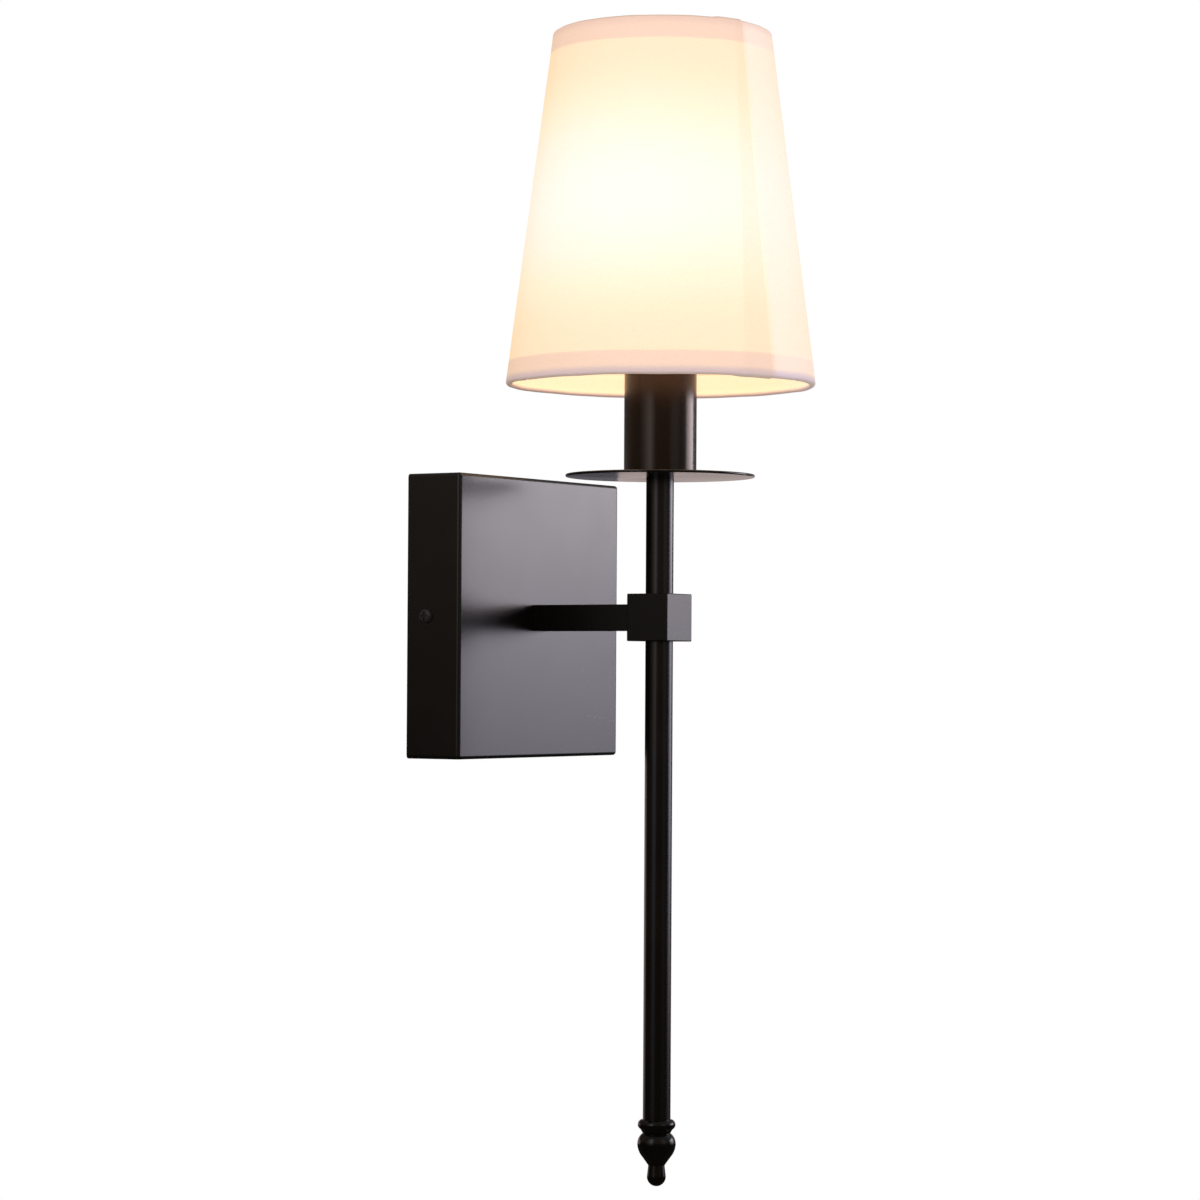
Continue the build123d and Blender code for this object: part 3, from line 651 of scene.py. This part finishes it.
def cloth_glow(tree, where, zones, weave, slubs):
    """Colour of the bulb's light through the cloth, painted as a glow, with painted cooler daylight beside
    the seam.
    """
    share = calc(tree, "MULTIPLY", glow_share(tree, where), painted_bright_sides(tree, where))
    glow = ramp(tree, share, *GLOW_STOPS)
    for zone, shade in (("hem", HEM_SHADE), ("inside", INSIDE_HEM), ("seam", SEAM_SHADE)):
        glow = tint(tree, glow, zones[zone], shade)
    glow = mixed(tree, glow, zones["beside"], BESIDE_DAYLIGHT)
    for zone, shade in (("rolled", ROLL_SHADE), ("top_rolled", TOP_ROLL_SHADE), ("rim", RIM_SHADE)):
        glow = tint(tree, glow, zones[zone], shade)
    glow = tint(tree, glow, spread(tree, slubs, 0.0, 1.0, *SLUB_RANGE), THREAD_SHADE)
    return tint(tree, glow, spread(tree, weave, 1.0, 0.0, GAP_LEVEL, 1.0), THREAD_SHADE)


def cloth_material():
    """Fine plain weave with uneven threads, lit from behind by the bulb."""
    material, tree, shader, where = start_material("shade_cloth")
    weave, slubs = weave_heights(tree)
    zones = cloth_zones(tree)
    colour = two_tone(tree, slubs, CLOTH_DARK, CLOTH_LIGHT)
    fill_inputs(tree, shader, {
        # Painted shade: darker base colour along the rims
        "Base Color": tint(tree, colour, zones["rim"], RIM_BASE_SHADE),
        "Roughness": spread(tree, weave, *CLOTH_ROUGH, 0.0, 1.0),
        "Specular IOR Level": CLOTH_SPECULAR,
        "Sheen Weight": FUZZ,
        "Sheen Roughness": FUZZ_ROUGH,
        "Sheen Tint": (*FUZZ_TINT, 1.0),
        "Normal": bump(tree, blend_heights(tree, weave, slubs, SLUB_SHARE), WEAVE_BUMP),
        "Emission Color": cloth_glow(tree, where, zones, weave, slubs),
        "Emission Strength": 1.0,
    })
    return material


# The liner's and the bulb's finish, with the liner's painted glow of the bulb's light
LINER_STREAKS = (220.0, 220.0, 25.0)
LINER_DETAIL = 3.0
LINER_GRAIN = (1800.0, 2.0)
LINER_BUMP = 0.02 * MM
LINER_DARK = (0.84, 0.82, 0.76)
LINER_LIGHT = (0.89, 0.87, 0.82)
LINER_ROUGH = (0.45, 0.65)
LINER_STOPS = [
    (0.0, (1.00, 0.52, 0.32)),
    (0.5, (1.00, 0.58, 0.38)),
    (1.0, (1.00, 0.66, 0.46)),
]
STREAK_SHADE = (0.95, 0.94, 0.92)
LINER_STRENGTH = 0.45
GLASS_FROST = (900.0, 3.0)
GLASS_CLOUDS = (60.0, 3.0)
GLASS_BUMP = 0.01 * MM
GLASS_DARK = (0.74, 0.72, 0.66)
GLASS_LIGHT = (0.82, 0.80, 0.75)
GLASS_ROUGH = (0.22, 0.4)
GLASS_STOPS = [
    (0.2, (0.48, 0.21, 0.06)),
    (0.9, (0.78, 0.52, 0.23)),
]
CLOUD_SHADE = (0.96, 0.95, 0.93)
GLASS_STRENGTH = 1.0


def liner_material():
    """Stiff white film behind the cloth, lit by the bulb, with faint rolling streaks."""
    material, tree, shader, where = start_material("shade_liner")
    rolled = streaks(tree, where, LINER_STREAKS, LINER_DETAIL)
    grain = noise(tree, where, *LINER_GRAIN)
    glow = ramp(tree, glow_share(tree, where), *LINER_STOPS)
    fill_inputs(tree, shader, {
        "Base Color": two_tone(tree, rolled, LINER_DARK, LINER_LIGHT),
        "Roughness": spread(tree, grain, *LINER_ROUGH),
        "Normal": bump(tree, grain, LINER_BUMP),
        "Emission Color": tint(tree, glow, spread(tree, rolled, 0.0, 1.0), STREAK_SHADE),
        "Emission Strength": LINER_STRENGTH,
    })
    return material


def bulb_material():
    """Inside-frosted glass, lit: brightest round the ball and warmer down the neck."""
    material, tree, shader, where = start_material("frosted_glass")
    frost = noise(tree, where, *GLASS_FROST)
    clouds = noise(tree, where, *GLASS_CLOUDS)
    glow = ramp(tree, glow_share(tree, where), *GLASS_STOPS)
    fill_inputs(tree, shader, {
        "Base Color": two_tone(tree, frost, GLASS_DARK, GLASS_LIGHT),
        "Roughness": spread(tree, frost, *GLASS_ROUGH),
        "Normal": bump(tree, frost, GLASS_BUMP),
        "Emission Color": tint(tree, glow, spread(tree, clouds, 0.0, 1.0), CLOUD_SHADE),
        "Emission Strength": GLASS_STRENGTH,
    })
    return material


# A finish for each of the record's slots
BLACK = (0.0026, 0.0019, 0.0015)
SOFT_BLACK = (0.0044, 0.0032, 0.0025)
BLACK_ROUGH = (0.18, 0.24)
PLAIN_FINISHES = [
    # Maker, slot, darker and lighter colour, range of roughness, and for some the IOR or the grain
    (satin_paint, "black_metal", BLACK, SOFT_BLACK, BLACK_ROUGH),
    (plated_metal, "zinc_steel", (0.50, 0.51, 0.53), (0.68, 0.67, 0.64), (0.28, 0.48)),
    (plated_metal, "green_screw", (0.05, 0.24, 0.10), (0.09, 0.36, 0.15), (0.28, 0.45)),
    (plated_metal, "brass", (0.62, 0.44, 0.19), (0.76, 0.58, 0.28), (0.22, 0.42)),
    (satin_paint, "white_wire", (0.78, 0.77, 0.73), (0.86, 0.85, 0.81), (0.35, 0.5)),
    (moulded_plastic, "phenolic", (0.018, 0.015, 0.013), (0.034, 0.030, 0.027), (0.18, 0.34), 1.6),
    (moulded_plastic, "white_plastic", (0.78, 0.77, 0.72), (0.86, 0.85, 0.81), (0.35, 0.5)),
    (plated_metal, "base_metal", (0.70, 0.70, 0.70), (0.84, 0.84, 0.83), (0.2, 0.38), LONG_GRAIN),
    (moulded_plastic, "black_glass", (0.012, 0.012, 0.018), (0.03, 0.03, 0.04), (0.08, 0.2)),
    (plated_metal, "solder", (0.46, 0.46, 0.48), (0.66, 0.66, 0.68), (0.35, 0.6)),
    (moulded_plastic, "black_lead", (0.022, 0.022, 0.022), (0.045, 0.044, 0.043), (0.4, 0.55)),
    (moulded_plastic, "white_lead", (0.78, 0.78, 0.75), (0.86, 0.86, 0.84), (0.4, 0.55)),
    (moulded_plastic, "green_lead", (0.06, 0.33, 0.10), (0.10, 0.43, 0.15), (0.4, 0.55)),
    (moulded_plastic, "orange_plastic", (0.74, 0.25, 0.04), (0.84, 0.33, 0.06), (0.25, 0.42)),
]
finishes = {slot: maker(slot, *values) for maker, slot, *values in PLAIN_FINISHES}
finishes["shade_cloth"] = cloth_material()
finishes["shade_liner"] = liner_material()
finishes["frosted_glass"] = bulb_material()
for part in frame["record"]["subparts"]:
    nodes[part["node"]].material_slots[0].material = finishes[part["material_slot"]]

# Black pieces whose paint differs a little from the rest; the sleeve's browner top and warmer gloss are
# painted warm light from the shade
CANOPY_SCRATCHES = [
    ((0.0645, -0.0480), (0.0360, -0.0446)),
    ((0.0330, -0.0190), (0.0400, -0.0330)),
]
CANOPY_CROWN = 3.7
# Painted warm light from the shade on the sleeve: a browner top and warmer highlights
SLEEVE_WARM_LIGHT = (90.0 * MM, 114.0 * MM, (0.0230, 0.0046, 0.0010))
SLEEVE_WARM_GLOSS = (1.0, 0.80, 0.70)
canopy_black = satin_paint("black_metal_canopy", BLACK, SOFT_BLACK, (0.25, 0.27),
                           scratches=CANOPY_SCRATCHES, crown=CANOPY_CROWN)
cast_black = satin_paint("black_metal_cast", BLACK, SOFT_BLACK, (0.27, 0.30), 1.42)
turned_black = satin_paint("black_metal_turned", BLACK, SOFT_BLACK, (0.11, 0.15), 1.38)
sleeve_black = satin_paint("black_metal_sleeve", BLACK, SOFT_BLACK, BLACK_ROUGH,
                           gloss=SLEEVE_WARM_GLOSS, warm_lit=SLEEVE_WARM_LIGHT)
screw_black = satin_paint("black_metal_screw", (0.016, 0.013, 0.011), (0.024, 0.020, 0.017), (0.38, 0.46))
own_blacks = {
    "canopy": canopy_black,
    "arm": cast_black,
    "cross_block": cast_black,
    "finial": turned_black,
    "candle_sleeve": sleeve_black,
    "canopy_screws": screw_black,
}
for name, finish in own_blacks.items():
    nodes[name].material_slots[0].material = finish


def dress(piece, slot, body, *replaced):
    """Gives a new piece its finish and body, and hides what it stands for."""
    piece.data.materials.append(finishes[slot])
    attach(piece, body)
    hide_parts(*replaced)


# The shade's cover
cloth = build_cloth()
dress(cloth, "shade_cloth", "shade", "shade_fabric")

SHARP_ANGLE = math.radians(40.0)


def ring_mesh(name, rings, closed=False):
    """A mesh from rings of points with the same count, joined in order, with flat ends if closed."""
    count = len(rings[0])
    points = [point for ring in rings for point in ring]
    faces = []
    for row in range(len(rings) - 1):
        for column in range(count):
            beside = (column + 1) % count
            faces.append((row * count + column, row * count + beside,
                          (row + 1) * count + beside, (row + 1) * count + column))
    if closed:
        faces.append(tuple(reversed(range(count))))
        faces.append(tuple(range((len(rings) - 1) * count, len(rings) * count)))
    mesh = bpy.data.meshes.new(name)
    mesh.from_pydata(points, [], faces)
    mesh.shade_smooth()
    mesh.set_sharp_from_angle(angle=SHARP_ANGLE)
    return mesh


# Wire connectors: ribbed caps with a hollow mouth
RIB_COUNT = 14
RIB_SHARE = 0.055
GROOVE_STEEPNESS = 0.9
CAP_SEGMENTS = RIB_COUNT * 8
CAP_TAPER = 0.62


def cap_rings(centre, mouth, height):
    """Rings of one cap from inside its mouth, over the rim and the ribbed side to the closed end."""
    end = mouth * CAP_TAPER
    # Radius, share of the height and depth of the ribs
    outline = [
        (mouth * 0.30, 0.42, 0), (mouth * 0.62, 0.40, 0), (mouth * 0.74, 0.06, 0), (mouth * 0.80, 0.01, 0),
        (mouth * 0.90, 0.0, 0), (mouth * 0.98, 0.015, 0), (mouth, 0.05, 0), (mouth * 0.99, 0.17, 0),
        (mouth * 0.95, 0.20, 0.4), (mouth * 0.93, 0.24, 1), (end * 1.06, 0.86, 1), (end, 0.93, 0.6),
        (end * 0.86, 0.975, 0.2), (end * 0.55, 0.995, 0), (end * 0.15, 1.0, 0),
    ]
    rings = []
    for radius, share, ribbed in outline:
        ring = []
        for index in range(CAP_SEGMENTS):
            turn = 2 * math.pi * index / CAP_SEGMENTS
            groove = smooth(0.5 + GROOVE_STEEPNESS * math.cos(RIB_COUNT * turn))
            left_over = radius * (1 - RIB_SHARE * ribbed * groove)
            ring.append(circle_point(centre, left_over, turn, centre.z - share * height))
        rings.append(ring)
    return rings


def build_connectors():
    """The three caps, where the CAD has them."""
    low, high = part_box("wire_connectors")
    mouth = (high.y - low.y) / 2
    caps = []
    for index, place in enumerate([low.x + mouth, (low.x + high.x) / 2, high.x - mouth]):
        rings = cap_rings(Vector((place, low.y + mouth, high.z)), mouth, high.z - low.z)
        mesh = ring_mesh(f"connector_cap_{index + 1}", rings, closed=True)
        caps.append(link_object(mesh.name, mesh))
    return caps


for cap in build_connectors():
    dress(cap, "orange_plastic", "fixture", "wire_connectors")


# Bulb base with a rolled helical thread. Ends and fades are shares of its height
THREAD_RISE = 3.6 * MM
THREAD_DEPTH = 0.8 * MM
THREAD_FADE_IN = 0.1
THREAD_FADE_OUT = 0.08
COLLAR_START = 0.93
COLLAR_FADE = 0.05
BASE_WALL = 0.4 * MM
BASE_SEGMENTS = 120
BASE_STEPS = 100


def build_bulb_base():
    """Thin screw base: rolled thread up to a plain collar at the top."""
    low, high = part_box("bulb_base")
    root = (high.x - low.x) / 2 - THREAD_DEPTH
    outside = []
    inside = []
    for step in range(BASE_STEPS + 1):
        share = step / BASE_STEPS
        rise = (high.z - low.z) * share
        fade = smooth(share / THREAD_FADE_IN) * smooth((COLLAR_START - share) / THREAD_FADE_OUT)
        collar = smooth((share - COLLAR_START) / COLLAR_FADE)
        outer_ring = []
        inner_ring = []
        for index in range(BASE_SEGMENTS):
            turn = 2 * math.pi * index / BASE_SEGMENTS
            wave = 0.5 + 0.5 * math.cos(2 * math.pi * rise / THREAD_RISE - turn)
            radius = root + THREAD_DEPTH * (fade * wave + collar)
            outer_ring.append(circle_point(AXIS, radius, turn, low.z + rise))
            inner_ring.append(circle_point(AXIS, radius - BASE_WALL, turn, low.z + rise))
        outside.append(outer_ring)
        inside.append(inner_ring)
    mesh = ring_mesh("bulb_screw_base", outside + inside[::-1] + outside[:1])
    return link_object(mesh.name, mesh)


dress(build_bulb_base(), "base_metal", "bulb", "bulb_base")

# Floor and background
FLOOR_LEVEL = cad_box[0][Z] - 0.25
FLOOR_RADIUS = 1.3
FLOOR_FADE = (FLOOR_RADIUS * 0.35, FLOOR_RADIUS * 0.98)
FLOOR_GLOW = 0.35
FLOOR_GREY = (0.80, 0.80, 0.80)
FLOOR_ROUGH = 0.9
DISC_STEPS = 96
AMBIENT_COLOUR = (0.96, 0.98, 1.0)
AMBIENT_STRENGTH = 0.43


def shows_background(tree):
    """1 for rays that show the white background, straight or in gloss and glass."""
    path = add_node(tree, "ShaderNodeLightPath").outputs
    seen = calc(tree, "MAXIMUM", path["Is Camera Ray"], path["Is Glossy Ray"])
    return calc(tree, "MAXIMUM", seen, path["Is Transmission Ray"])


def floor_material():
    """Pale floor that fades to the background's white towards its edge."""
    material, tree, shader, where = start_material("floor")
    flat = stretched(tree, where, (1.0, 1.0, 0.0))
    out = add_node(tree, "ShaderNodeVectorMath", {0: flat}, operation="LENGTH").outputs["Value"]
    glow = spread(tree, step_up(tree, out, *FLOOR_FADE), FLOOR_GLOW, 1.0, 0.0, 1.0)
    fill_inputs(tree, shader, {
        "Base Color": (*FLOOR_GREY, 1.0),
        "Roughness": FLOOR_ROUGH,
        "Emission Color": (*WHITE, 1.0),
        "Emission Strength": calc(tree, "MULTIPLY", shows_background(tree), glow),
    })
    return material


def disc_mesh(name, radius, level):
    """A level disc round the lamp."""
    turns = [2 * math.pi * index / DISC_STEPS for index in range(DISC_STEPS)]
    points = [circle_point(AXIS, radius, turn, level) for turn in turns]
    mesh = bpy.data.meshes.new(name)
    mesh.from_pydata(points, [], [tuple(range(DISC_STEPS))])
    return mesh


floor = link_object("floor", disc_mesh("floor", FLOOR_RADIUS, FLOOR_LEVEL))
floor.data.materials.append(floor_material())

world = bpy.data.worlds.new("studio")
bpy.context.scene.world = world
world.use_nodes = True
sky = world.node_tree
ambient = sky.nodes["Background"]
fill_inputs(sky, ambient, {"Color": (*AMBIENT_COLOUR, 1.0), "Strength": AMBIENT_STRENGTH})
backdrop = add_node(sky, "ShaderNodeBackground", {"Color": (*WHITE, 1.0), "Strength": 1.0})
both = add_node(sky, "ShaderNodeMixShader",
                {0: shows_background(sky), 1: ambient.outputs[0], 2: backdrop.outputs[0]})
sky.links.new(both.outputs[0], sky.nodes["World Output"].inputs["Surface"])
bpy.context.scene.view_settings.view_transform = "Standard"


# Cards round the lamp, which only its gloss shows
def level_stops(colour, levels):
    """A card's colours at a list of heights."""
    return [(level, tuple(part * share for part in colour)) for level, share in levels]


CARD_RADIUS = 1.9
WINDOW_RADIUS = 1.5
CARD_LOW = -1.0
CARD_HIGH = 1.9
CARD_STEPS = 16
BELOW_LEVEL = FLOOR_LEVEL + 0.02
ROOM_LEVELS = [(-0.55, 0.03), (-0.33, 0.17), (-0.10, 0.31), (0.10, 0.45), (0.25, 1.0)]
TABLE_LEVELS = [(-0.60, 0.2), (-0.35, 1.0), (0.02, 1.0), (0.18, 0.15)]
EVEN_LEVELS = [(-0.50, 1.0), (0.50, 1.0)]
GREY = (1.0, 0.97, 0.95)
WARM = (1.0, 0.70, 0.50)
PINK = (1.0, 0.83, 0.79)
GREY_ROOM = level_stops(GREY, ROOM_LEVELS)
WARM_ROOM = level_stops(WARM, ROOM_LEVELS)
PINK_TABLE = level_stops(PINK, TABLE_LEVELS)
EVEN_GREY = level_stops(GREY, EVEN_LEVELS)
WINDOW_STOPS = [
    (-0.35, (0.03, 0.029, 0.033)),
    (-0.10, (0.37, 0.352, 0.42)),
    (0.0, (0.44, 0.415, 0.475)),
    (0.12, (0.70, 0.65, 0.71)),
    (0.20, (0.94, 0.875, 0.94)),
    (0.33, (0.94, 0.875, 0.94)),
    (0.44, (0.07, 0.066, 0.075)),
]
UPRIGHT_CARDS = [
    # Name, first and last direction in degrees, distance, strength, colours by height
    ("card_left_wall", 95, 150, CARD_RADIUS, 0.26, WARM_ROOM),
    ("card_left_front_1", 150, 163, CARD_RADIUS, 0.55, GREY_ROOM),
    ("card_left_front_2", 163, 173, CARD_RADIUS, 1.1, GREY_ROOM),
    ("card_left_front_3", 173, 185, CARD_RADIUS, 1.6, GREY_ROOM),
    ("card_left_front_4", 185, 193, CARD_RADIUS, 0.8, GREY_ROOM),
    ("card_camera_left", 193, 245, CARD_RADIUS, 0.3, WARM_ROOM),
    ("card_camera_right", 245, 272, CARD_RADIUS, 0.55, GREY_ROOM),
    ("card_front", 272, 365, CARD_RADIUS, 0.3, GREY_ROOM),
    ("card_right_wall", 365, 455, CARD_RADIUS, 0.78, PINK_TABLE),
    ("card_window_1", 304, 316, WINDOW_RADIUS, 5.2, WINDOW_STOPS),
    ("card_window_2", 316, 339, WINDOW_RADIUS, 7.3, WINDOW_STOPS),
]
LEVEL_CARDS = [
    # Name, level, strength
    ("card_below", BELOW_LEVEL, 0.03),
    ("card_above", CARD_HIGH, 0.25),
]


def card_material(name, strength, stops):
    """Glow of a card, with its own colour at each of a list of heights."""
    material, tree, shader, where = start_material(name)
    share = spread(tree, parts_of(tree, where)["Z"], 0.0, 1.0, CARD_LOW, CARD_HIGH)
    places = [((level - CARD_LOW) / (CARD_HIGH - CARD_LOW), colour) for level, colour in stops]
    fill_inputs(tree, shader, {
        "Base Color": (0.0, 0.0, 0.0, 1.0),
        "Specular IOR Level": 0.0,
        "Emission Color": ramp(tree, share, *places),
        "Emission Strength": strength,
    })
    return material


def upright_mesh(name, start, end, radius):
    """An upright curved wall round the lamp, from one angle to another."""
    points = []
    for index in range(CARD_STEPS + 1):
        turn = math.radians(start + (end - start) * index / CARD_STEPS)
        for level in (CARD_LOW, CARD_HIGH):
            points.append(circle_point(AXIS, radius, turn, level))
    faces = [(2 * index, 2 * index + 2, 2 * index + 3, 2 * index + 1) for index in range(CARD_STEPS)]
    mesh = bpy.data.meshes.new(name)
    mesh.from_pydata(points, [], faces)
    return mesh


def add_card(mesh, strength, stops):
    """A glowing card, hidden from everything but reflections."""
    card = link_object(mesh.name, mesh)
    card.data.materials.append(card_material(mesh.name, strength, stops))
    card.visible_camera = False
    card.visible_diffuse = False
    card.visible_transmission = False
    card.visible_shadow = False


for name, start, end, radius, strength, stops in UPRIGHT_CARDS:
    add_card(upright_mesh(name, start, end, radius), strength, stops)
for name, level, strength in LEVEL_CARDS:
    add_card(disc_mesh(name, CARD_RADIUS, level), strength, EVEN_GREY)

# Soft lamps that face the shade
SHADE_MIDDLE = Vector((AXIS.x, AXIS.y, 0.18))
LAMPS = [
    # Name, direction in degrees, distance, height, size, power, colour
    ("window", 319, 1.5, 0.60, (0.80, 1.25), 2.4, (0.70, 0.82, 1.0)),
    ("front_fill", 214, 1.8, 0.60, (1.20, 1.20), 5.0, WHITE),
    ("back_fill", 30, 1.6, 0.35, (1.40, 1.40), 5.0, WHITE),
]


def area_light(name, place, size, power, colour):
    """A soft rectangular lamp that faces the shade and isn't seen itself."""
    data = bpy.data.lights.new(name, "AREA")
    data.shape = "RECTANGLE"
    data.size, data.size_y = size
    data.energy = power
    data.color = colour
    lamp = link_object(name, data)
    lamp.location = place
    lamp.rotation_euler = (Vector(place) - SHADE_MIDDLE).to_track_quat("Z", "Y").to_euler()
    lamp.visible_camera = False
    lamp.visible_glossy = False


for name, turn, distance, level, size, power, colour in LAMPS:
    area_light(name, circle_point(AXIS, distance, math.radians(turn), level), size, power, colour)

# Camera at the photograph's viewpoint
CAMERA_PLACE = Vector((-1.3585, -0.9368, -0.0257))
CAMERA_YAW = math.radians(57.18)
CAMERA_PITCH = math.radians(1.20)
CAMERA_ROLL = math.radians(0.33)
CAMERA_LENS = 106.5
CAMERA_SENSOR = 36.0
NEAREST = 0.01
ahead = Vector((
    math.sin(CAMERA_YAW) * math.cos(CAMERA_PITCH),
    math.cos(CAMERA_YAW) * math.cos(CAMERA_PITCH),
    math.sin(CAMERA_PITCH),
))
right = Vector((math.cos(CAMERA_YAW), -math.sin(CAMERA_YAW), 0.0))
up = right.cross(ahead)
image_right = right * math.cos(CAMERA_ROLL) + up * math.sin(CAMERA_ROLL)
image_up = up * math.cos(CAMERA_ROLL) - right * math.sin(CAMERA_ROLL)
turned = Matrix((image_right, image_up, -ahead)).transposed().to_4x4()
camera_data = bpy.data.cameras.new("camera")
camera_data.lens = CAMERA_LENS
camera_data.sensor_width = CAMERA_SENSOR
camera_data.clip_start = NEAREST
camera = link_object("camera", camera_data)
camera.matrix_world = Matrix.Translation(CAMERA_PLACE) @ turned
bpy.context.scene.camera = camera
